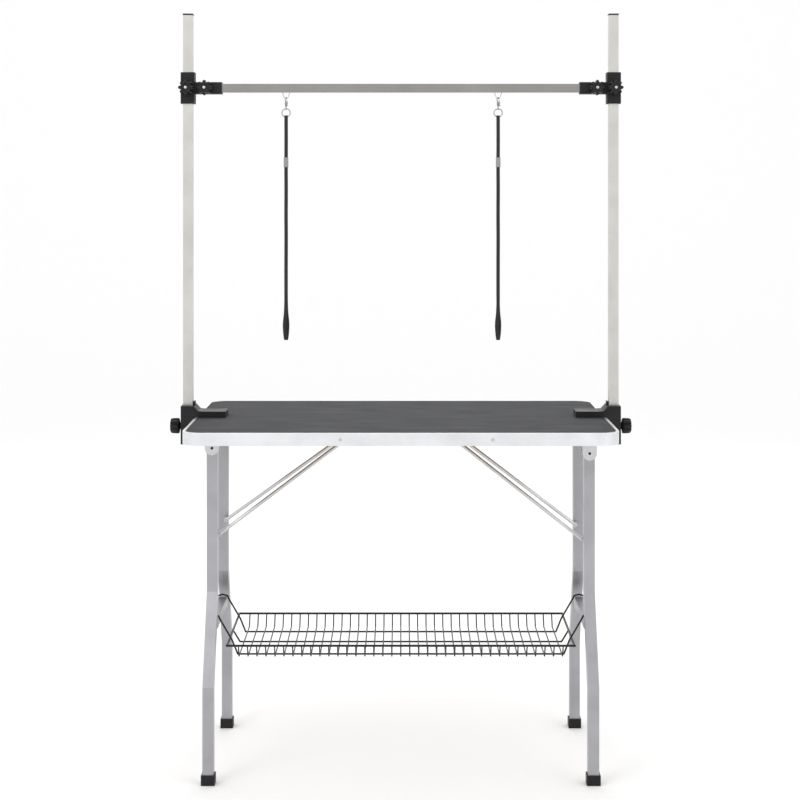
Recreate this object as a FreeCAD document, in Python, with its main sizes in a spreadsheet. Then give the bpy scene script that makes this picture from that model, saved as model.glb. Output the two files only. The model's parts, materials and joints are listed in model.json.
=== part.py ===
import FreeCAD, Part
import math
import os
import re

# Folding grooming table with an overhead arm, two nooses and a wire basket.
# Millimetres. +X along the tabletop, -Y the front, +Z up, origin on the floor under the middle.

SIZES = {
    # tabletop
    "top_length": 940, "top_width": 600, "top_upper": 778, "rim_height": 27, "corner_radius": 45,
    "rim_wall": 2, "lip_width": 6, "lip_height": 3, "mat_thickness": 2.6, "lower_lip": 20,
    "screw_radius": 4, "screw_proud": 0.8, "left_screw_x": -129, "right_screw_x": 196,
    # posts and clamps
    "post_width": 22, "post_wall": 1.5, "post_centre": 489, "post_bottom": 719, "post_top": 1699,
    "cap_height": 3.5, "cap_width": 23, "clamp_inner": 472.5, "clamp_outer": 503, "clamp_depth": 60,
    "clamp_bottom": 716, "clamp_top": 803, "arm_reach": 400, "arm_height": 13, "jaw_reach": 430,
    "bore_gap": 0.3, "shim_height": 9,
    # knobs
    "knob_radius": 13.5, "lobe_radius": 4.2, "knob_thick": 22, "neck_radius": 8, "neck_length": 5,
    "stem_radius": 3, "stem_gap": 0.05, "clamp_knob_z": 755, "bar_knob_x": 449, "post_knob_x": 491,
    # overhead arm
    "tee_z": 1531.5, "tee_height": 72, "tee_width": 31.6, "sleeve_start": 411, "sleeve_height": 27,
    "bar_width": 19.4, "bar_half": 451, "bar_wall": 1.5, "eye_drop": 14, "eye_half": 8.5,
    "eye_wire": 1.1, "left_eye_x": -264, "right_eye_x": 224,
    # nooses
    "bow_radius": 5.2, "bow_wire": 1.1, "ring_radius": 9.5, "ring_wire": 1.25, "strap_width": 8,
    "strap_thick": 1.6, "strap_half_gap": 2.8, "strap_end": 953, "slide_length": 22, "slide_z": 1361,
    "slide_wide": 10.6, "slide_deep": 10.4,
    # legs
    "leg_x": 420, "leg_width": 24, "leg_wall": 1.5, "leg_upper_y": 120, "leg_lower_y": 206,
    "bend_upper_z": 400, "bend_lower_z": 210, "left_pivot_z": 723, "right_pivot_z": 711,
    "leg_above_pivot": 12, "leg_bar_z": 326, "leg_bar_width": 20, "foot_width": 30,
    "foot_height": 22, "foot_base": 3, "pin_radius": 3, "plate_radius": 15, "plate_thick": 2,
    "bracket_thick": 2.5, "bracket_width": 32,
    # braces
    "brace_radius": 4, "brace_leg_x": 410, "brace_leg_drop": 201, "brace_leg_y": 94,
    "brace_top_x": 112, "brace_top_z": 740, "left_brace_top_y": 42, "right_brace_top_y": 59, "end_pin_gap": 0.35,
    "end_pin_length": 9, "runner_length": 340, "runner_width": 150, "runner_thick": 1.5,
    # basket
    "basket_half_x": 387.5, "basket_half_y": 150, "basket_rim_z": 287, "basket_rim_wire": 2.5,
    "basket_wire": 1.5, "basket_floor_z": 259.5, "basket_floor_y": 131, "wire_pitch": 20,
    "wires_each_side": 18, "hook_y": 100, "hook_wire": 2,
}

doc = FreeCAD.newDocument("grooming_table")
sheet = doc.addObject("Spreadsheet::Sheet", "sizes")
for row, (alias, value) in enumerate(SIZES.items(), start=1):
    sheet.set(f"A{row}", alias)
    sheet.set(f"B{row}", str(value))
    sheet.setAlias(f"B{row}", alias)
doc.recompute()

WORD = re.compile(r"\b(" + "|".join(sorted(SIZES, key=len, reverse=True)) + r")\b")
V = FreeCAD.Vector
parts = []


def size(alias):
    """A driving dimension, read from the sheet."""
    return float(sheet.get(alias))


def bind(thing, place, **sizes):
    """Bind a primitive's sizes and its placement's base to the sheet."""
    for name, words in sizes.items():
        thing.setExpression(name, WORD.sub(r"sizes.\1", str(words)))
    for axis, words in zip("xyz", place):
        thing.setExpression(f"Placement.Base.{axis}", WORD.sub(r"sizes.\1", str(words)))
    return thing


def box(name, low, spans):
    """A box from its lowest corner and its three spans."""
    thing = doc.addObject("Part::Box", name)
    return bind(thing, low, Length=spans[0], Width=spans[1], Height=spans[2])


def centred(name, middle, spans):
    """A box from its middle and its three spans."""
    low = [f"({m}) - ({s}) / 2" for m, s in zip(middle, spans)]
    return box(name, low, spans)


def rod(name, base, direction, radius, length):
    """A round bar from its base point along a fixed direction."""
    thing = doc.addObject("Part::Cylinder", name)
    thing.Placement.Rotation = FreeCAD.Rotation(V(0, 0, 1), direction)
    return bind(thing, base, Radius=radius, Height=length)


def fuse(name, things):
    """One solid out of several."""
    out = doc.addObject("Part::MultiFuse", name)
    out.Shapes = things
    return out


def cut(name, base, tools):
    """A solid less one or more tools."""
    out = doc.addObject("Part::Cut", name)
    out.Base = base
    out.Tool = tools[0] if len(tools) == 1 else fuse(name + "_tools", tools)
    return out


def group(name, things):
    """Separate solids kept in one sub-part."""
    out = doc.addObject("Part::Compound", name)
    out.Links = things
    return out


def drawn(name, shape):
    """A sub-part whose shape comes straight from Part's functions."""
    out = doc.addObject("Part::Feature", name)
    out.Shape = shape
    return out


def part(label, thing):
    """Name a finished sub-part."""
    thing.Label = label
    parts.append(thing)
    return thing


def round_edges(name, thing, radius):
    """Round a box's four upright edges."""
    doc.recompute()
    upright = []
    for number, edge in enumerate(thing.Shape.Edges, start=1):
        ends = edge.BoundBox
        if ends.XLength < 0.01 and ends.YLength < 0.01:
            upright.append((number, radius, radius))
    out = doc.addObject("Part::Fillet", name)
    out.Base = thing
    out.Edges = upright
    return out


def wire_solid(points, radius):
    """Bent wire: round runs with a ball at each bend."""
    pieces = []
    for start, end in zip(points, points[1:]):
        pieces.append(Part.makeCylinder(radius, (end - start).Length, start, end - start))
    for point in points[1:-1]:
        pieces.append(Part.makeSphere(radius, point))
    return pieces[0].multiFuse(pieces[1:]) if len(pieces) > 1 else pieces[0]


def plate(name, inset, low, spans_z):
    """A plate with the tabletop's outline, moved inwards by an inset."""
    spans = [f"top_length - 2 * ({inset})", f"top_width - 2 * ({inset})", spans_z]
    slab = box(name + "_slab", [f"-({spans[0]}) / 2", f"-({spans[1]}) / 2", low], spans)
    return round_edges(name, slab, max(size("corner_radius") - inset_value(inset), 5))


def inset_value(inset):
    """The number behind an inset's alias."""
    return size(inset) if inset in SIZES else float(inset)


def tabletop():
    """Board, rubber mat, aluminium rim and the rim's screws."""
    bottom = "top_upper - rim_height"
    board_top = "top_upper - lip_height"
    outer = plate("rim_outer", "0", bottom, "rim_height")
    core = plate("rim_core", "rim_wall", f"{bottom} + rim_wall", "rim_height - rim_wall - lip_height")
    mouth = plate("rim_mouth", "lip_width", board_top, "lip_height + 1")
    below = plate("rim_below", "lower_lip", f"{bottom} - 1", "rim_wall + 1")
    part("tabletop_rim", cut("rim", outer, [core, mouth, below]))
    board = plate("board", "rim_wall", f"{bottom} + rim_wall", "rim_height - rim_wall - lip_height")
    part("tabletop_board", board)
    part("rubber_mat", plate("mat", "lip_width", board_top, "mat_thickness"))
    screws = []
    for number, x in enumerate(("left_screw_x", "right_screw_x")):
        for side, facing in ((-1, "front"), (1, "rear")):
            base = [x, f"{side} * top_width / 2", "top_upper - rim_height / 2"]
            name = f"screw_{facing}_{number}"
            screws.append(rod(name, base, V(0, side, 0), "screw_radius", "screw_proud"))
    part("rim_screws", group("rim_screws", screws))
    runner = box(
        "runner",
        ["-runner_length / 2", "-runner_width / 2", f"{bottom} + rim_wall - runner_thick"],
        ["runner_length", "runner_width", "runner_thick"],
    )
    part("brace_runner", runner)


def clamp(side, name):
    """The clamp that grips the rim and holds a post, with its shim."""
    width = "clamp_outer - clamp_inner"
    middle_x = f"{side} * (clamp_outer + clamp_inner) / 2"
    block = centred(
        f"{name}_block", [middle_x, 0, "(clamp_top + clamp_bottom) / 2"],
        [width, "clamp_depth", "clamp_top - clamp_bottom"],
    )
    arm = centred(
        f"{name}_arm",
        [f"{side} * (arm_reach + clamp_inner + 1) / 2", 0, "top_upper + arm_height / 2 + 0.05"],
        ["clamp_inner + 1 - arm_reach", "clamp_depth", "arm_height"],
    )
    jaw = centred(
        f"{name}_jaw",
        [f"{side} * (jaw_reach + clamp_inner + 1) / 2", 0, "(clamp_bottom + top_upper - rim_height) / 2"],
        ["clamp_inner + 1 - jaw_reach", "clamp_depth", "top_upper - rim_height - clamp_bottom - 0.1"],
    )
    gusset = wedge(side)
    body = fuse(f"{name}_body", [block, arm, jaw, drawn(f"{name}_gusset", gusset)])
    bore = centred(
        f"{name}_bore", [f"{side} * post_centre", 0, "clamp_bottom + 102"],
        ["post_width + 2 * bore_gap", "post_width + 2 * bore_gap", 200],
    )
    hole = rod(
        f"{name}_hole", [f"{side} * post_centre", 0, "clamp_knob_z"], V(side, 0, 0),
        "stem_radius + stem_gap", 40,
    )
    part(f"{name}_clamp", cut(f"{name}_clamp", body, [bore, hole]))
    shim = centred(
        f"{name}_shim", [f"{side} * (clamp_inner + 2)", 0, "clamp_top + shim_height / 2"],
        [3.4, "post_width", "shim_height"],
    )
    return shim


def wedge(side):
    """Sloping web between a clamp's block and its upper arm."""
    arm_top = size("top_upper") + size("arm_height")
    inner = size("clamp_inner")
    half = size("clamp_depth") / 2
    corners = [(inner + 1, arm_top - 1), (inner + 1, size("clamp_top"))]
    corners += [(inner - 9, arm_top + 1), (inner - 40, arm_top - 1)]
    points = [V(side * x, -half, z) for x, z in corners]
    return Part.Face(Part.makePolygon(points + points[:1])).extrude(V(0, 2 * half, 0))


def star_knob(name, base, direction):
    """A lobed hand knob with its neck and clamping screw."""
    turn = FreeCAD.Rotation(V(0, 0, 1), direction)
    neck = Part.makeCylinder(size("neck_radius"), size("neck_length"))
    start = V(0, 0, size("neck_length"))
    body = Part.makeCylinder(size("knob_radius"), size("knob_thick"), start)
    lobes = []
    for number in range(8):
        angle = math.radians(45 * number)
        at = V(math.cos(angle), math.sin(angle), 0) * size("knob_radius") + start
        lobes.append(Part.makeCylinder(size("lobe_radius"), size("knob_thick"), at))
    shape = neck.multiFuse([body] + lobes)
    shape.Placement = FreeCAD.Placement(base, turn)
    return shape


def knob(name, base, direction, stem):
    """A star knob standing off a face, with a screw that reaches back into it."""
    head = star_knob(name, base + direction * 0.3, direction)
    screw = Part.makeCylinder(size("stem_radius"), stem + 5.3, base - direction * stem, direction)
    part(name, drawn(name, head.fuse(screw)))


def post(side, name):
    """Square upright tube and its end cap."""
    length = "post_top - post_bottom"
    middle = [f"{side} * post_centre", 0, "(post_top + post_bottom) / 2"]
    tube = centred(f"{name}_outer", middle, ["post_width", "post_width", length])
    inner = ["post_width - 2 * post_wall", "post_width - 2 * post_wall", f"{length} + 2"]
    part(f"{name}_post", cut(f"{name}_post", tube, [centred(f"{name}_inner", middle, inner)]))
    cap = centred(
        f"{name}_cap", [f"{side} * post_centre", 0, "post_top + cap_height / 2"],
        ["cap_width", "cap_width", "cap_height"],
    )
    part(f"{name}_post_cap", cap)


def tee(side, name):
    """Corner joint that slides on a post and holds the bar's end."""
    upright = centred(
        f"{name}_upright", [f"{side} * post_centre", 0, "tee_z"], ["tee_width", "tee_width", "tee_height"]
    )
    sleeve = centred(
        f"{name}_sleeve", [f"{side} * (sleeve_start + post_centre - tee_width / 2 + 1) / 2", 0, "tee_z"],
        ["post_centre - tee_width / 2 + 1 - sleeve_start", "sleeve_height", "sleeve_height"],
    )
    body = fuse(f"{name}_tee_body", [upright, sleeve])
    gap = "2 * bore_gap"
    post_bore = centred(
        f"{name}_post_bore", [f"{side} * post_centre", 0, "tee_z"],
        [f"post_width + {gap}", f"post_width + {gap}", "tee_height + 2"],
    )
    bar_bore = centred(
        f"{name}_bar_bore", [f"{side} * (sleeve_start - 1 + 467) / 2", 0, "tee_z"],
        ["467 - sleeve_start + 1", f"bar_width + {gap}", f"bar_width + {gap}"],
    )
    holes = [
        rod(f"{name}_hole_{x}", [f"{side} * {x}", 0, "tee_z"], V(0, -1, 0), "stem_radius + stem_gap", 30)
        for x in ("bar_knob_x", "post_knob_x")
    ]
    part(f"{name}_tee", cut(f"{name}_tee", body, [post_bore, bar_bore] + holes))


def crossbar():
    """Square bar over the table with two wire eyes under it."""
    spans = ["2 * bar_half", "bar_width", "bar_width"]
    outer = centred("bar_outer", [0, 0, "tee_z"], spans)
    inner = centred(
        "bar_inner", [0, 0, "tee_z"],
        ["2 * bar_half + 2", "bar_width - 2 * bar_wall", "bar_width - 2 * bar_wall"],
    )
    part("crossbar", cut("crossbar", outer, [inner]))
    under = size("tee_z") - size("bar_width") / 2 - 0.55
    eyes = []
    for name in ("left", "right"):
        x = size(f"{name}_eye_x")
        half = size("eye_half")
        low = under + 0.55 - size("eye_drop")
        points = [V(x - half, 0, under), V(x - 4, 0, low + 1.2), V(x, 0, low), V(x + 4, 0, low + 1.2)]
        points.append(V(x + half, 0, under))
        eyes.append(drawn(f"{name}_noose_eye", wire_solid(points, size("eye_wire"))))
    part("noose_eyes", group("noose_eyes", eyes))


def noose(name):
    """Snap hook, trigger, swivel, ring, strap loop and slide."""
    x = size(f"{name}_eye_x")
    apex = size("tee_z") - size("bar_width") / 2 - size("eye_drop")
    centre = apex - (size("bow_radius") - size("bow_wire") - size("eye_wire") - 0.4)
    across = V(math.cos(math.radians(-65)), math.sin(math.radians(-65)), 0)

    def at(u, drop):
        return V(x, 0, centre + drop) + across * u

    bow = []
    for step in range(12):
        angle = math.radians(235 - step * 20.5)
        bow.append(at(size("bow_radius") * math.cos(angle), size("bow_radius") * math.sin(angle)))
    boss = Part.makeCylinder(2.6, 3, at(size("bow_radius"), -9.6))
    barrel = Part.makeCylinder(3, 9, at(0, -14.6))
    shoulder = Part.makeCylinder(1.4, 10, at(-4.6, -7.6), across)
    stub = wire_solid([bow[0], at(-3.4, -7.6)], size("bow_wire"))
    body = wire_solid(bow, size("bow_wire")).multiFuse([boss, barrel, shoulder, stub])
    bolt_hole = Part.makeCylinder(1.25, 8, at(size("bow_radius"), -12))
    stem_hole = Part.makeCylinder(1.25, 6, at(0, -14.7))
    part(f"{name}_snap_hook", drawn(f"{name}_snap_hook", body.cut(bolt_hole.fuse(stem_hole))))

    bolt = Part.makeCylinder(1.2, 13.4, at(size("bow_radius"), -14.8))
    lever = Part.makeCylinder(1.1, 6, at(size("bow_radius"), -13.4), across)
    part(f"{name}_snap_trigger", drawn(f"{name}_snap_trigger", bolt.fuse(lever)))

    stem = Part.makeCylinder(1.2, 6, at(0, -15.8))
    collar = Part.makeCylinder(2.4, 1.4, at(0, -16.4))
    eye_centre = at(0, -20.2)
    eye = Part.makeTorus(3.4, 1, eye_centre, V(1, 0, 0))
    part(f"{name}_swivel_eye", drawn(f"{name}_swivel_eye", stem.multiFuse([collar, eye])))

    ring_middle = eye_centre - V(0, 0, size("ring_radius") + 0.6)
    link = Part.makeTorus(size("ring_radius"), size("ring_wire"), ring_middle, V(0, 1, 0))
    part(f"{name}_noose_ring", drawn(f"{name}_noose_ring", link))

    top = ring_middle.z - size("ring_radius") + 0.35
    part(f"{name}_noose_strap", drawn(f"{name}_noose_strap", strap_loop(x, top)))
    slot = size("strap_half_gap") + size("strap_thick") / 2 + 0.4
    outer = centred(
        f"{name}_slide_outer", [f"{name}_eye_x", 0, "slide_z"], ["slide_wide", "slide_deep", "slide_length"]
    )
    inner = centred(
        f"{name}_slide_inner", [f"{name}_eye_x", 0, "slide_z"],
        ["strap_width + 0.8", 2 * slot, "slide_length + 2"],
    )
    part(f"{name}_noose_slide", cut(f"{name}_noose_slide", outer, [inner]))


def strap_loop(x, top):
    """A flat strap doubled front and back: over the ring and round at the bottom."""
    half = size("strap_width") / 2
    low = size("strap_end") + size("strap_half_gap")
    shapes = []
    for reach in (size("strap_thick") / 2, -size("strap_thick") / 2):
        radius = size("strap_half_gap") + reach
        middle = Part.makeBox(2 * half, 2 * radius, top - low, V(x - half, -radius, low))
        ends = [Part.makeCylinder(radius, 2 * half, V(x - half, 0, z), V(1, 0, 0)) for z in (low, top)]
        shapes.append(middle.multiFuse(ends))
    return shapes[0].cut(shapes[1]).removeSplitter()


def leg_profile(side_y, top, half, upper):
    """Outline of a leg in the Y-Z plane, from the foot up."""
    low = size("foot_base")
    near = size("leg_upper_y")
    far = size("leg_lower_y")
    high_bend = size("bend_upper_z")
    low_bend = size("bend_lower_z")
    slope = math.atan2(far - near, high_bend - low_bend)
    lift = half * math.tan(slope / 2)
    outer = [(far + half, low), (far + half, low_bend + lift)]
    outer += [(near + half, high_bend + lift), (near + half, top)]
    inner = [(near - half, top), (near - half, high_bend - lift)]
    inner += [(far - half, low_bend - lift), (far - half, low)]
    return [V(upper, side_y * y, z) for y, z in outer + inner]


def bent_tube(x, side_y, top, width, wall):
    """Square tube bent outwards below the crossbar."""
    shapes = []
    for inset in (0, wall):
        half = width / 2 - inset
        points = leg_profile(side_y, top, half, x - half)
        shapes.append(Part.Face(Part.makePolygon(points + points[:1])).extrude(V(2 * half, 0, 0)))
    return shapes[0].cut(shapes[1])


def leg_frame(side, name):
    """Two legs, the bar between them, feet, hinge plates and brace pivots."""
    pivot = size(f"{name}_pivot_z")
    x = side * size("leg_x")
    width = size("leg_width")
    plates = []
    feet = []
    pivots = []
    for side_y, facing in ((-1, "front"), (1, "rear")):
        tube = bent_tube(x, side_y, pivot + size("leg_above_pivot"), width, size("leg_wall"))
        y = side_y * size("leg_upper_y")
        hole = Part.makeCylinder(size("pin_radius") + 0.05, 60, V(x, y - 30, pivot), V(0, 1, 0))
        part(f"{name}_{facing}_leg", drawn(f"{name}_{facing}_leg", tube.cut(hole)))
        feet.append(foot(side, side_y, name, facing))
        face = y + side_y * width / 2
        disc = Part.makeCylinder(size("plate_radius"), size("plate_thick"), V(x, face, pivot), V(0, side_y, 0))
        plates.append(drawn(f"{name}_{facing}_plate", disc.cut(hole)))
        end = V(side * size("brace_leg_x"), y - side_y * width / 2, pivot - size("brace_leg_drop"))
        pivots.append(drawn(f"{name}_{facing}_brace_pin", Part.makeCylinder(3, 17, end, V(0, -side_y, 0))))
    part(f"{name}_feet", group(f"{name}_feet", feet))
    part(f"{name}_hinge_plates", group(f"{name}_hinge_plates", plates))
    part(f"{name}_brace_pins", group(f"{name}_brace_pins", pivots))
    span = "2 * leg_upper_y - leg_width"
    part(f"{name}_leg_crossbar", centred(
        f"{name}_leg_crossbar", [f"{side} * leg_x", 0, "leg_bar_z"], ["leg_bar_width", span, "leg_bar_width + 2"]
    ))


def foot(side, side_y, name, facing):
    """Black cap over a leg's lower end, with a socket for the tube."""
    middle = [f"{side} * leg_x", f"{side_y} * leg_lower_y"]
    outer = centred(
        f"{name}_{facing}_foot_outer", middle + ["foot_height / 2"], ["foot_width", "foot_width", "foot_height"]
    )
    socket = centred(
        f"{name}_{facing}_foot_socket", middle + ["foot_base + 20"], ["leg_width", "leg_width", 40]
    )
    return cut(f"{name}_{facing}_foot", outer, [socket])


def hinge(side, name):
    """Ears under the tabletop and the pins the legs turn on."""
    pivot = size(f"{name}_pivot_z")
    x = side * size("leg_x")
    under = size("top_upper") - size("rim_height") + size("rim_wall")
    thick = size("bracket_thick")
    half = size("bracket_width") / 2
    ears = []
    pins = []
    for side_y in (-1, 1):
        y = side_y * size("leg_upper_y")
        outer = size("leg_width") / 2 + size("plate_thick") + 0.4
        inner = size("leg_width") / 2 + 0.4
        for offset in (side_y * outer, -side_y * inner):
            start = y + offset + (0 if offset > 0 else -thick)
            ear = Part.makeBox(2 * half, thick, under - pivot, V(x - half, start, pivot))
            tip = Part.makeCylinder(half, thick, V(x, start, pivot), V(0, 1, 0))
            hole = Part.makeCylinder(size("pin_radius"), thick, V(x, start, pivot), V(0, 1, 0))
            ears.append(drawn(f"{name}_ear", ear.fuse(tip).cut(hole)))
        reach = outer + thick + 1.5
        low = y - (reach if side_y < 0 else inner + thick + 1.5)
        length = outer + inner + 2 * thick + 3
        pin = Part.makeCylinder(size("pin_radius"), length, V(x, low, pivot), V(0, 1, 0))
        pins.append(drawn(f"{name}_pin", pin))
    return ears, pins


def brace(side, name):
    """Two rods from the legs to the tabletop's underside, and the pins at their upper ends."""
    pivot = size(f"{name}_pivot_z")
    low_z = pivot - size("brace_leg_drop")
    top_x = side * size("brace_top_x")
    top_y = size(f"{name}_brace_top_y")
    top_z = size("brace_top_z")
    radius = size("brace_radius")
    for side_y, facing in ((-1, "front"), (1, "rear")):
        start = V(side * size("brace_leg_x"), side_y * size("brace_leg_y"), low_z)
        end = V(top_x, side_y * top_y, top_z)
        run = Part.makeCylinder(radius, (end - start).Length, start, end - start)
        boss = Part.makeCylinder(6, 8, start - V(0, 4, 0), V(0, 1, 0))
        hole = Part.makeCylinder(size("pin_radius") + 0.05, 20, start - V(0, 10, 0), V(0, 1, 0))
        cap = Part.makeSphere(radius, end)
        shape = run.multiFuse([boss, cap]).cut(hole)
        part(f"{name}_{facing}_brace", drawn(f"{name}_{facing}_brace", shape))
    # The left pair is joined by one pin. The right pair straddles it, with a short pin on each rod's outer side.
    if name == "left":
        spans = [(-top_y + radius, 2 * (top_y - radius))]
    else:
        reach = size("end_pin_length")
        start_y = top_y + radius + size("end_pin_gap")
        spans = [(start_y, reach), (-start_y - reach, reach)]
    pins = [
        drawn(
            f"{name}_end_pin",
            Part.makeCylinder(size("pin_radius"), length, V(top_x, low, top_z), V(0, 1, 0)),
        )
        for low, length in spans
    ]
    part(f"{name}_brace_end_pins", group(f"{name}_brace_end_pins", pins))


def basket():
    """Shallow wire tray hung from the leg crossbars by its long wires."""
    half_x = size("basket_half_x")
    half_y = size("basket_half_y")
    rim_z = size("basket_rim_z")
    floor_z = size("basket_floor_z")
    floor_y = size("basket_floor_y")
    rim_wire = size("basket_rim_wire")
    wire = size("basket_wire")
    count = int(size("wires_each_side"))
    places = [size("wire_pitch") * number for number in range(-count, count + 1)]

    floor = [Part.makeCylinder(wire, 2 * floor_y, V(x, -floor_y, floor_z), V(0, 1, 0)) for x in places]
    long_half = [V(370, 0, floor_z - wire), V(half_x - 3, 0, rim_z - 5)]
    long_wire = [V(-p.x, 0, p.z) for p in reversed(long_half)] + long_half
    part("basket_floor", drawn("basket_floor", wire_solid(long_wire, wire + 0.5).multiFuse(floor)))

    for side_y, facing in ((-1, "front"), (1, "rear")):
        rim = Part.makeCylinder(rim_wire, 2 * half_x, V(-half_x, side_y * half_y, rim_z), V(1, 0, 0))
        walls = []
        for x in places:
            low = V(x, side_y * (floor_y + 1.4), floor_z)
            up = V(x, side_y * half_y, rim_z)
            walls.append(Part.makeCylinder(wire, (up - low).Length, low, up - low))
        part(f"basket_{facing}_side", drawn(f"basket_{facing}_side", rim.multiFuse(walls)))

    ends = []
    for side in (-1, 1):
        reach = half_y - rim_wire
        ends.append(drawn("basket_end", Part.makeCylinder(
            rim_wire, 2 * reach, V(side * (half_x - rim_wire), -reach, rim_z), V(0, 1, 0)
        )))
    part("basket_ends", group("basket_ends", ends))

    for side_y, facing in ((-1, "front"), (1, "rear")):
        y = side_y * size("hook_y")
        half = [V(366, y, floor_z - wire - 2.05), V(378.5, y, rim_z), V(405.3, y, 333), V(409, y, 341)]
        half += [V(420, y, 344), V(431, y, 341), V(434, y, 334)]
        path = [V(-p.x, p.y, p.z) for p in reversed(half)] + half
        part(f"basket_{facing}_hanger", drawn(f"basket_{facing}_hanger", wire_solid(path, size("hook_wire"))))


tabletop()
shims = []
all_ears = []
all_pins = []
for side, name in ((-1, "left"), (1, "right")):
    shims.append(clamp(side, name))
    post(side, name)
    tee(side, name)
    leg_frame(side, name)
    ears, pins = hinge(side, name)
    all_ears += ears
    all_pins += pins
    brace(side, name)
    noose(name)
    clamp_face = V(side * size("clamp_outer"), 0, size("clamp_knob_z"))
    knob(f"{name}_clamp_knob", clamp_face, V(side, 0, 0), 2.5)
    bar_face = V(side * size("bar_knob_x"), -size("sleeve_height") / 2, size("tee_z"))
    knob(f"{name}_bar_knob", bar_face, V(0, -1, 0), 3.4)
    post_face = V(side * size("post_knob_x"), -size("tee_width") / 2, size("tee_z"))
    knob(f"{name}_post_knob", post_face, V(0, -1, 0), 4.4)
part("clamp_shims", group("clamp_shims", shims))
part("hinge_brackets", group("hinge_brackets", all_ears))
part("hinge_pins", group("hinge_pins", all_pins))
crossbar()
basket()

doc.recompute()
for thing in doc.Objects:
    if "Invalid" in thing.State or "Error" in thing.State:
        raise RuntimeError(f"{thing.Label} did not compute: {thing.State}")
os.makedirs("parts", exist_ok=True)
for thing in parts:
    if thing.Shape.isNull() or not thing.Shape.isValid():
        raise RuntimeError(f"{thing.Label} has no valid shape")
    thing.Shape.exportStep(f"parts/{thing.Label}.step")
    print(thing.Label, len(thing.Shape.Solids), round(thing.Shape.Volume))
print(len(parts), "sub-parts")
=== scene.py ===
import bpy
import json
import math
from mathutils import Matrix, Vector


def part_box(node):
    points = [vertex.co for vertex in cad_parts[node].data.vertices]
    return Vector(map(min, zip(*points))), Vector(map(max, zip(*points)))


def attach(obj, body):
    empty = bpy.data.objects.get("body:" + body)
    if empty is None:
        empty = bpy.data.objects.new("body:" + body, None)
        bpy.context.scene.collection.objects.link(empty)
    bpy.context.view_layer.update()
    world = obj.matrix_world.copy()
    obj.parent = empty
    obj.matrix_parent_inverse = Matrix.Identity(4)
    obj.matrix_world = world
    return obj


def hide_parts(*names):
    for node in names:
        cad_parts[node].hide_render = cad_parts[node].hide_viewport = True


# Folding grooming table: finishes, straps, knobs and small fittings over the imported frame. Metres.

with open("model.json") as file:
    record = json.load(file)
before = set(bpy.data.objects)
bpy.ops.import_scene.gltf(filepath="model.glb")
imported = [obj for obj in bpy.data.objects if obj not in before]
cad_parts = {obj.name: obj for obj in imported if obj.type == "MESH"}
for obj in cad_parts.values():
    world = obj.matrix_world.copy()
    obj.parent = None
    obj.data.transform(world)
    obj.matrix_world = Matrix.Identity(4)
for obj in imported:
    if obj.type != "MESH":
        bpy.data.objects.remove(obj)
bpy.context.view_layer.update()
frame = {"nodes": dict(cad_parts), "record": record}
record = frame["record"]
nodes = frame["nodes"]
slot_of = {entry["node"]: entry["material_slot"] for entry in record["subparts"]}

# ---------------------------------------------------------------- materials


SPECULAR_METAL = 0.5
SPECULAR_PLAIN = 0.28


def shader(name, colour, rough, metallic=0.0, coat=0.0):
    """A material with a Principled shader and its node tree."""
    material = bpy.data.materials.new(name)
    material.use_nodes = True
    tree = material.node_tree
    surface = tree.nodes["Principled BSDF"]
    surface.inputs["Base Color"].default_value = (*colour, 1)
    surface.inputs["Roughness"].default_value = rough
    surface.inputs["Metallic"].default_value = metallic
    surface.inputs["Coat Weight"].default_value = coat
    surface.inputs["Specular IOR Level"].default_value = SPECULAR_METAL if metallic else SPECULAR_PLAIN
    return material, tree, surface


def texture_space(tree, stretch=(1, 1, 1)):
    """Object coordinates, stretched along each axis."""
    place = tree.nodes.new("ShaderNodeTexCoord")
    scale = tree.nodes.new("ShaderNodeMapping")
    scale.inputs["Scale"].default_value = stretch
    tree.links.new(place.outputs["Object"], scale.inputs["Vector"])
    return scale.outputs["Vector"]


def noise(tree, space, scale, detail=4):
    """A noise pattern in a texture space."""
    grain = tree.nodes.new("ShaderNodeTexNoise")
    grain.inputs["Scale"].default_value = scale
    grain.inputs["Detail"].default_value = detail
    tree.links.new(space, grain.inputs["Vector"])
    return grain.outputs["Fac"]


def bump(tree, surface, height, strength, distance):
    """Relief from a pattern."""
    relief = tree.nodes.new("ShaderNodeBump")
    relief.inputs["Strength"].default_value = strength
    relief.inputs["Distance"].default_value = distance
    tree.links.new(height, relief.inputs["Height"])
    tree.links.new(relief.outputs["Normal"], surface.inputs["Normal"])


def spread(tree, pattern, socket, low, high):
    """Map a pattern onto a number or a pair of colours."""
    ramp = tree.nodes.new("ShaderNodeValToRGB")
    ramp.color_ramp.elements[0].position = 0.3
    ramp.color_ramp.elements[1].position = 0.7
    for element, value in zip(ramp.color_ramp.elements, (low, high)):
        element.color = (*value, 1) if isinstance(value, tuple) else (value, value, value, 1)
    tree.links.new(pattern, ramp.inputs["Fac"])
    tree.links.new(ramp.outputs["Color"], socket)


def tinted(colour, factor):
    """A colour made lighter or darker."""
    return tuple(min(channel * factor, 1) for channel in colour)


def metal(name, colour, rough, stretch=(1, 1, 1), grain=900, depth=0.00004):
    """Drawn or plated metal: fine lines along the stretch, cloudy tone and gloss."""
    material, tree, surface = shader(name, colour, rough, 1.0)
    lines = noise(tree, texture_space(tree, stretch), grain, 3)
    clouds = noise(tree, texture_space(tree), 14)
    spread(tree, clouds, surface.inputs["Base Color"], tinted(colour, 0.9), tinted(colour, 1.06))
    spread(tree, lines, surface.inputs["Roughness"], rough * 0.8, min(rough * 1.25, 1))
    bump(tree, surface, lines, 0.25, depth)
    return material


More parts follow.
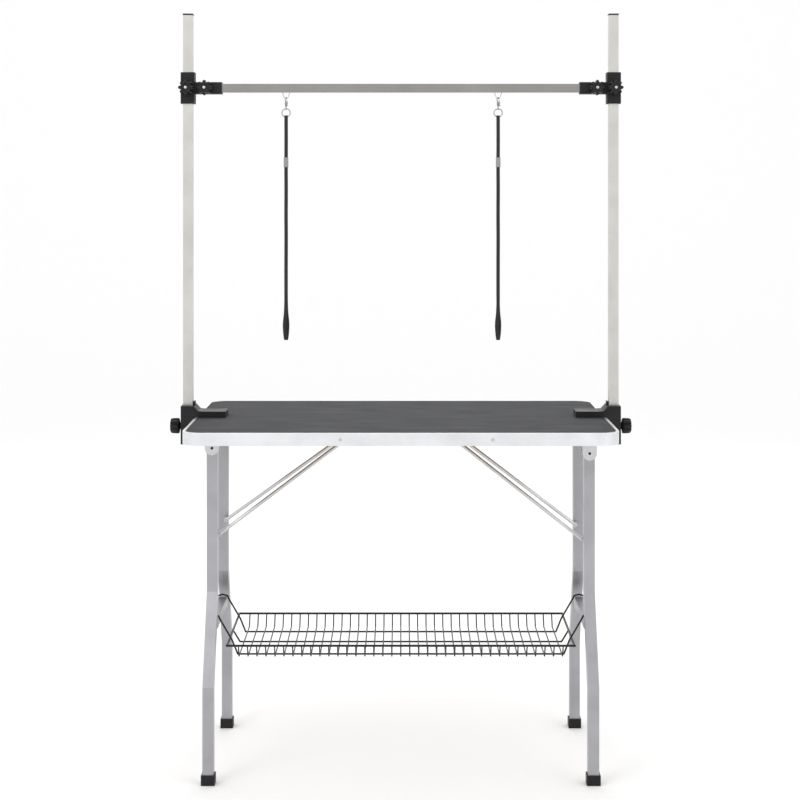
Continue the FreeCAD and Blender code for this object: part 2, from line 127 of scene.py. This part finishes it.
def moulded(name, colour, rough, grain=1600, depth=0.00008, coat=0.0):
    """Moulded plastic or powder coat: pebbled skin with slight wear."""
    material, tree, surface = shader(name, colour, rough, coat=coat)
    skin = noise(tree, texture_space(tree), grain, 2)
    wear = noise(tree, texture_space(tree), 35)
    spread(tree, wear, surface.inputs["Base Color"], tinted(colour, 0.8), tinted(colour, 1.35))
    spread(tree, wear, surface.inputs["Roughness"], rough * 0.85, rough * 1.15)
    bump(tree, surface, skin, 0.35, depth)
    return material


def rubber_mat():
    """Grooming mat: dark rubber with a fine pimpled tread and a few pale scuffs."""
    colour = (0.021, 0.022, 0.025)
    material, tree, surface = shader("mat_rubber", colour, 0.75)
    pimples = tree.nodes.new("ShaderNodeTexVoronoi")
    pimples.inputs["Scale"].default_value = 420
    tree.links.new(texture_space(tree), pimples.inputs["Vector"])
    scuffs = noise(tree, texture_space(tree, (1, 2.5, 1)), 9, 8)
    spread(tree, scuffs, surface.inputs["Base Color"], tinted(colour, 0.86), tinted(colour, 1.2))
    spread(tree, scuffs, surface.inputs["Roughness"], 0.68, 0.82)
    bump(tree, surface, pimples.outputs["Distance"], 0.5, 0.0004)
    return material


def fibreboard():
    """Raw board seen from below: short pressed fibres."""
    colour = (0.36, 0.25, 0.15)
    material, tree, surface = shader("board_fibre", colour, 0.8)
    fibres = noise(tree, texture_space(tree, (1, 3, 1)), 160, 8)
    spread(tree, fibres, surface.inputs["Base Color"], tinted(colour, 0.75), tinted(colour, 1.25))
    bump(tree, surface, fibres, 0.3, 0.0003)
    return material


def webbing():
    """Woven nylon strap: fine ribs across its width and a sheen."""
    colour = (0.012, 0.012, 0.014)
    material, tree, surface = shader("strap_weave", colour, 0.7)
    surface.inputs["Sheen Weight"].default_value = 0.35
    ribs = tree.nodes.new("ShaderNodeTexWave")
    ribs.bands_direction = "Z"
    ribs.inputs["Scale"].default_value = 260
    ribs.inputs["Distortion"].default_value = 0.6
    tree.links.new(texture_space(tree), ribs.inputs["Vector"])
    spread(tree, ribs.outputs["Fac"], surface.inputs["Base Color"], tinted(colour, 0.6), tinted(colour, 2.4))
    bump(tree, surface, ribs.outputs["Fac"], 0.6, 0.0003)
    return material


FINISHES = {
    "aluminium_rim": metal("rim_metal", (0.78, 0.79, 0.81), 0.34, (1, 60, 60), 90),
    "board": fibreboard(),
    "mat": rubber_mat(),
    "post_tube": metal("post_metal", (0.62, 0.61, 0.58), 0.36, (40, 40, 0.8), 60),
    "bar_tube": metal("bar_metal", (0.31, 0.3, 0.29), 0.36, (0.8, 40, 40), 60),
    "leg_tube": metal("leg_metal", (0.4, 0.4, 0.42), 0.38, (40, 40, 1), 60),
    "black_plastic": moulded("black_moulding", (0.008, 0.008, 0.009), 0.5),
    "zinc": metal("zinc_plate", (0.6, 0.6, 0.61), 0.3, (1, 1, 1), 220, 0.00006),
    "nickel": metal("nickel_plate", (0.36, 0.35, 0.34), 0.2, (1, 1, 1), 300, 0.00002),
    "black_wire": moulded("wire_coat", (0.008, 0.008, 0.009), 0.42, 700, 0.00005, 0.1),
    "strap": webbing(),
}

# Widths of the worn edge on each kind of part that isn't round wire.
EDGES = {
    "post_tube": 0.0012, "bar_tube": 0.0012, "leg_tube": 0.0016, "black_plastic": 0.0014,
    "aluminium_rim": 0.0006, "mat": 0.0008,
}
EDGE_ANGLE = 40  # degrees

for name, thing in nodes.items():
    slot = slot_of[name]
    if thing.material_slots:
        thing.material_slots[0].material = FINISHES[slot]
    else:
        thing.data.materials.append(FINISHES[slot])
    if slot in EDGES:
        edge = thing.modifiers.new("edge", "BEVEL")
        edge.width = EDGES[slot]
        edge.segments = 3
        edge.limit_method = "ANGLE"
        edge.angle_limit = math.radians(EDGE_ANGLE)
        edge.harden_normals = True

# ---------------------------------------------------------------- mesh helpers


def swept_faces(rows, count):
    """Quads between neighbouring closed rows of points, and a cap on each end."""
    faces = []
    for row in range(rows - 1):
        here, above = row * count, (row + 1) * count
        for step in range(count):
            after = (step + 1) % count
            faces.append((here + step, here + after, above + after, above + step))
    faces.append(tuple(reversed(range(count))))
    faces.append(tuple((rows - 1) * count + step for step in range(count)))
    return faces


def mesh_piece(name, points, faces, slot):
    """A new object from points and faces, with a finish."""
    mesh = bpy.data.meshes.new(name)
    mesh.from_pydata([tuple(point) for point in points], [], faces)
    mesh.update()
    mesh.validate()
    for face in mesh.polygons:
        face.use_smooth = True
    mesh.materials.append(FINISHES[slot])
    piece = bpy.data.objects.new(name, mesh)
    bpy.context.scene.collection.objects.link(piece)
    return piece


LOBE_SHARPNESS = 1.6


def lathe(name, base, axis, profile, slot, lobes=0, depth=0.0, steps=96):
    """A turned piece along an axis; lobes waves its rim in and out where the profile says.

    profile holds (distance along the axis, radius, share of the lobes' depth).
    """
    turn = Vector((0, 0, 1)).rotation_difference(Vector(axis))
    points = []
    for along, radius, share in profile:
        for step in range(steps):
            angle = 2 * math.pi * step / steps
            wave = math.cos(lobes * angle)
            reach = radius - depth * share * (0.5 - 0.5 * wave) ** LOBE_SHARPNESS
            local = Vector((reach * math.cos(angle), reach * math.sin(angle), along))
            points.append(Vector(base) + turn @ local)
    return mesh_piece(name, points, swept_faces(len(profile), steps), slot)


# ---------------------------------------------------------------- knobs


GRIP_THICK = 0.022
GRIP_RADIUS = 0.0177
GRIP_LOBES = 8
GRIP_LOBE_DEPTH = 0.0052
GRIP_BACK = 0.005
SCREW_END_AT = 0.0232


def star_knob(node, axis):
    """Eight-fingered hand knob with a dished face and a zinc screw end."""
    low, high = (Vector(corner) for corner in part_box(node))
    axis = Vector(axis)
    centre = (low + high) / 2
    reach = abs((high - low).dot(axis)) / 2
    end = centre + axis * reach
    full = GRIP_RADIUS
    base = end - axis * (GRIP_THICK + GRIP_BACK)
    profile = [
        (0.0, 0.0080, 0), (0.0045, 0.0080, 0), (0.0052, 0.0120, 0.4), (0.0060, full - 0.0012, 0.9),
        (0.0072, full, 1), (0.0150, full, 1), (0.0225, full - 0.0006, 1), (0.0252, full - 0.0020, 0.9),
        (0.0264, full - 0.0046, 0.6), (0.0262, 0.0095, 0.1), (0.0240, 0.0078, 0), (0.0236, 0.0050, 0),
    ]
    piece = lathe(node + "_grip", base, axis, profile, "black_plastic", GRIP_LOBES, GRIP_LOBE_DEPTH)
    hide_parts(node)
    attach(piece, node)
    screw = [(0.0, 0.0034, 0), (0.0016, 0.0034, 0), (0.0021, 0.0028, 0), (0.0023, 0.0012, 0)]
    nut = lathe(node + "_screw_end", base + axis * SCREW_END_AT, axis, screw, "zinc", 6, 0.0004, 48)
    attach(nut, node)


for side, name in ((-1, "left"), (1, "right")):
    star_knob(f"{name}_clamp_knob", (side, 0, 0))
    star_knob(f"{name}_bar_knob", (0, -1, 0))
    star_knob(f"{name}_post_knob", (0, -1, 0))

# ---------------------------------------------------------------- rim screws


RIM_SCREW_X = (-0.129, 0.196)
RIM_SCREW_SUNK = 0.0008
RIM_SCREW_RADIUS = 0.004


def pan_head(name, base, axis, radius, body):
    """Domed screw head with a cross recess."""
    height = radius * 0.42
    profile = [
        (0.0, radius, 0), (height * 0.3, radius, 0), (height * 0.62, radius * 0.93, 0),
        (height * 0.88, radius * 0.72, 0), (height, radius * 0.42, 0.2), (height * 0.9, radius * 0.3, 1),
        (height * 0.35, radius * 0.22, 1),
    ]
    head = lathe(name, base, axis, profile, "zinc", 4, radius * 0.16, 48)
    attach(head, body)
    return head


def rim_screws():
    """Two screws in the rim on the front and two on the rear."""
    low, high = (Vector(corner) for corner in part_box("rim_screws"))
    z = (low.z + high.z) / 2
    for number, x in enumerate(RIM_SCREW_X):
        for y, facing in ((low.y + RIM_SCREW_SUNK, "front"), (high.y - RIM_SCREW_SUNK, "rear")):
            direction = (0, math.copysign(1, y), 0)
            name = f"rim_screw_{facing}_{number}"
            pan_head(name, (x, y, z), direction, RIM_SCREW_RADIUS, "table")
    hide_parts("rim_screws")


rim_screws()

# ---------------------------------------------------------------- noose straps

STRAP_WIDTH = 0.008
STRAP_THICK = 0.0016
STRAP_GAP = 0.0028
LEAF_SPREAD = 0.0040
ROUTE_TOP_POINTS = 10


def strap_route(x, top, low):
    """Down the front of the loop, round the bottom and up the back, as listed points."""
    gap = STRAP_GAP
    leaf = LEAF_SPREAD
    front = [
        (0, 0.0, top + gap), (0, -gap, top + gap), (0, -gap, top - 0.006), (0.0002, -gap, top - 0.06),
        (-0.0002, -gap, top - 0.115), (0.0002, -gap, top - 0.17), (-0.0002, -gap, top - 0.225),
        (0.0002, -gap, top - 0.28), (-0.0001, -gap, top - 0.335), (-0.0001, -gap, top - 0.39),
        (0.0, -gap, low + 0.085), (-0.0010, -gap, low + 0.060), (-leaf, -gap, low + 0.036),
        (-leaf * 0.6, -gap, low + 0.012), (-0.0006, -gap, low - 0.0002),
    ]
    back = [(-across, -y, z) for across, y, z in reversed(front[ROUTE_TOP_POINTS:])]
    back += [(across, -y, z) for across, y, z in reversed(front[:ROUTE_TOP_POINTS])]
    return [Vector((x + across, y, z)) for across, y, z in front + back]


def sampled(points, name):
    """Points along the smooth NURBS line through a route."""
    curve = bpy.data.curves.new(name, "CURVE")
    curve.dimensions = "3D"
    spline = curve.splines.new("NURBS")
    spline.points.add(len(points) - 1)
    for knot, point in zip(spline.points, points):
        knot.co = (*point, 1)
    spline.order_u = 3
    spline.use_endpoint_u = True
    spline.resolution_u = 24
    line = bpy.data.objects.new(name, curve)
    bpy.context.scene.collection.objects.link(line)
    bpy.context.view_layer.update()
    mesh = bpy.data.meshes.new_from_object(line)
    path = [vertex.co.copy() for vertex in mesh.vertices]
    bpy.data.objects.remove(line)
    return path


def ribbon(name, path, width, thick):
    """A flat strap with rounded edges along a path that faces the front."""
    half = width / 2
    edge = thick / 2
    outline = [
        (-half + edge * 0.5, -edge), (half - edge * 0.5, -edge), (half, -edge * 0.4), (half, edge * 0.4),
        (half - edge * 0.5, edge), (-half + edge * 0.5, edge), (-half, edge * 0.4), (-half, -edge * 0.4),
    ]
    points = []
    for step, point in enumerate(path):
        along = (path[min(step + 1, len(path) - 1)] - path[max(step - 1, 0)]).normalized()
        across = (Vector((1, 0, 0)) - along * along.x).normalized()
        out = along.cross(across)
        points += [point + across * a + out * b for a, b in outline]
    return mesh_piece(name, points, swept_faces(len(path), len(outline)), "strap")


def noose(name):
    """One doubled strap hanging from its ring."""
    low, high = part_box(f"{name}_noose_strap")
    x = (low[0] + high[0]) / 2
    top = high[2] - STRAP_GAP - STRAP_THICK / 2
    bottom = low[2] + STRAP_THICK / 2
    path = sampled(strap_route(x, top, bottom), f"{name}_strap_line")
    strap = ribbon(f"{name}_strap", path, STRAP_WIDTH, STRAP_THICK)
    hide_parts(f"{name}_noose_strap")
    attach(strap, f"{name}_noose")
    length = sum((b - a).length for a, b in zip(path, path[1:]))
    print("strap", name, "length", round(length, 4), "points", len(path))


for name in ("left", "right"):
    noose(name)

# ---------------------------------------------------------------- stage, light and camera


def stage_floor():
    """Plain pale floor that curves up behind the object."""
    material, tree, surface = shader("floor_paint", (0.95, 0.95, 0.95), 0.9)
    spread(tree, noise(tree, texture_space(tree), 0.4), surface.inputs["Roughness"], 0.85, 0.95)
    points = []
    faces = []
    outline = [(-9, 0), (5, 0)]
    outline += [(5 + 2 * math.sin(a), 2 - 2 * math.cos(a)) for a in (math.pi * k / 32 for k in range(1, 17))]
    outline.append((7, 9))
    for y, z in outline:
        points += [(-14, y, z), (14, y, z)]
    for row in range(len(outline) - 1):
        faces.append((2 * row, 2 * row + 1, 2 * row + 3, 2 * row + 2))
    mesh = bpy.data.meshes.new("studio_floor")
    mesh.from_pydata(points, [], faces)
    mesh.materials.append(material)
    floor = bpy.data.objects.new("studio_floor", mesh)
    bpy.context.scene.collection.objects.link(floor)
    for face in mesh.polygons:
        face.use_smooth = True


def area_light(name, place, target, power, spread_size):
    """A soft square light aimed at a point."""
    lamp = bpy.data.lights.new(name, "AREA")
    lamp.energy = power
    lamp.size = spread_size
    light = bpy.data.objects.new(name, lamp)
    light.location = place
    light.rotation_euler = (Vector(target) - Vector(place)).to_track_quat("-Z", "Y").to_euler()
    bpy.context.scene.collection.objects.link(light)


def studio():
    """Even white surroundings with a key light from the front left."""
    world = bpy.data.worlds.new("studio_world")
    world.use_nodes = True
    world.node_tree.nodes["Background"].inputs["Color"].default_value = (1, 1, 1, 1)
    world.node_tree.nodes["Background"].inputs["Strength"].default_value = 1.0
    bpy.context.scene.world = world
    area_light("key", (-2.6, -3.4, 3.6), (0, 0, 0.9), 45, 2.2)
    area_light("fill", (3.2, -2.6, 2.2), (0, 0, 0.9), 18, 2.6)
    area_light("back", (0, 3.4, 3.4), (0, 0, 1.0), 40, 2.6)
    bpy.context.scene.view_settings.view_transform = "Standard"


def camera():
    """Level camera in front of the table, framed by a small shift."""
    eye = bpy.data.cameras.new("photo_camera")
    eye.lens = 78.2
    eye.sensor_width = 36
    eye.shift_x = -0.001
    eye.shift_y = -0.2525
    place = bpy.data.objects.new("photo_camera", eye)
    place.location = (0, -4.0, 1.279)
    place.rotation_euler = (math.radians(90), 0, 0)
    bpy.context.scene.collection.objects.link(place)
    bpy.context.scene.camera = place


stage_floor()
studio()
camera()
